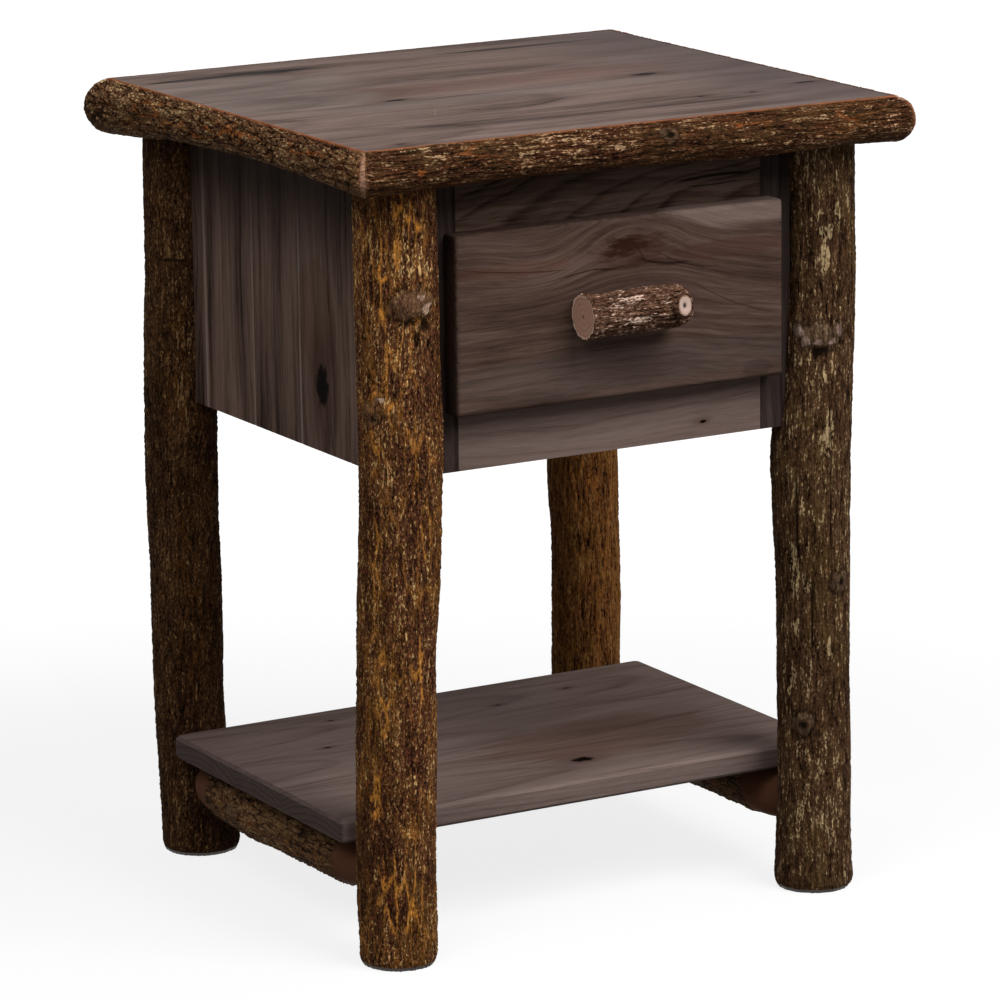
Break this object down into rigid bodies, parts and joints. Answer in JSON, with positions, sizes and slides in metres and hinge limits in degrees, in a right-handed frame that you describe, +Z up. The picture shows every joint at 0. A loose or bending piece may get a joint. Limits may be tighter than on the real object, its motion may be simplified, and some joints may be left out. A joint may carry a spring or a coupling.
{
  "type": "nightstand",
  "caption": "Rustic side table of bark-on hickory poles and stained boards, with a plank top edged in half-round poles, a drawer with a twig pull and a low shelf.",
  "frame": {"origin": "on the floor under the middle of the plank top, which is within a few millimetres of the middle of the whole outline", "axes": "+Z up, -Y out of the drawer front, +X to the right seen from the front"},
  "size_m": [0.5246, 0.4812, 0.66],
  "materials": {
    "top_wood": "grey-brown stain under satin varnish",
    "border_bark": "bark on, sealed with satin varnish",
    "leg_bark": "bark on, sealed with satin varnish",
    "stretcher_bark": "bark on, peeled at the ends, satin varnish",
    "side_wood": "brown stain under satin varnish",
    "back_wood": "brown stain under satin varnish",
    "frame_wood": "grey-brown stain under satin varnish",
    "shelf_wood": "grey-brown stain under satin varnish",
    "drawer_front_wood": "grey-brown stain under satin varnish",
    "pull_bark": "bark on with sawn ends, satin varnish",
    "drawer_box_wood": "plain wood under clear varnish",
    "inner_wood": "plain unstained wood",
    "screw_steel": "zinc plated"
  },
  "bodies": {
    "table": {"top_plank_rear": "top_wood", "top_plank_middle_rear": "top_wood", "top_plank_middle_front": "top_wood", "top_plank_front": "top_wood", "border_front": "border_bark", "border_right": "border_bark", "border_back": "border_bark", "border_left": "border_bark", "leg_front_left": "leg_bark", "leg_front_right": "leg_bark", "leg_rear_left": "leg_bark", "leg_rear_right": "leg_bark", "stretcher_left": "stretcher_bark", "stretcher_right": "stretcher_bark", "side_stave_left_1": "side_wood", "side_stave_left_2": "side_wood", "side_stave_left_3": "side_wood", "side_stave_left_4": "side_wood", "side_stave_left_5": "side_wood", "side_stave_right_1": "side_wood", "side_stave_right_2": "side_wood", "side_stave_right_3": "side_wood", "side_stave_right_4": "side_wood", "side_stave_right_5": "side_wood", "back_stave_1": "back_wood", "back_stave_2": "back_wood", "back_stave_3": "back_wood", "back_stave_4": "back_wood", "rail_top": "frame_wood", "rail_bottom": "frame_wood", "stile_left": "frame_wood", "stile_right": "frame_wood", "shelf_board_front": "shelf_wood", "shelf_board_middle": "shelf_wood", "shelf_board_rear": "shelf_wood", "top_cleat_left": "inner_wood", "top_cleat_right": "inner_wood", "top_cleat_rear": "inner_wood", "guide_block_left": "inner_wood", "guide_block_right": "inner_wood", "drawer_runner_left": "inner_wood", "drawer_runner_right": "inner_wood", "cleat_screws": "screw_steel", "shelf_screws": "screw_steel", "runner_screws": "screw_steel"},
    "drawer": {"drawer_side_left": "drawer_box_wood", "drawer_side_right": "drawer_box_wood", "drawer_box_front": "drawer_box_wood", "drawer_box_rear": "drawer_box_wood", "drawer_bottom": "drawer_box_wood", "drawer_front": "drawer_front_wood", "drawer_pull": "pull_bark", "drawer_front_screws": "screw_steel", "pull_screws": "screw_steel"}
  },
  "joints": [
    {"name": "drawer_slide", "type": "slide", "parent": "table", "child": "drawer", "axis": [0, -1, 0], "range_m": [0, 0.21]}
  ]
}
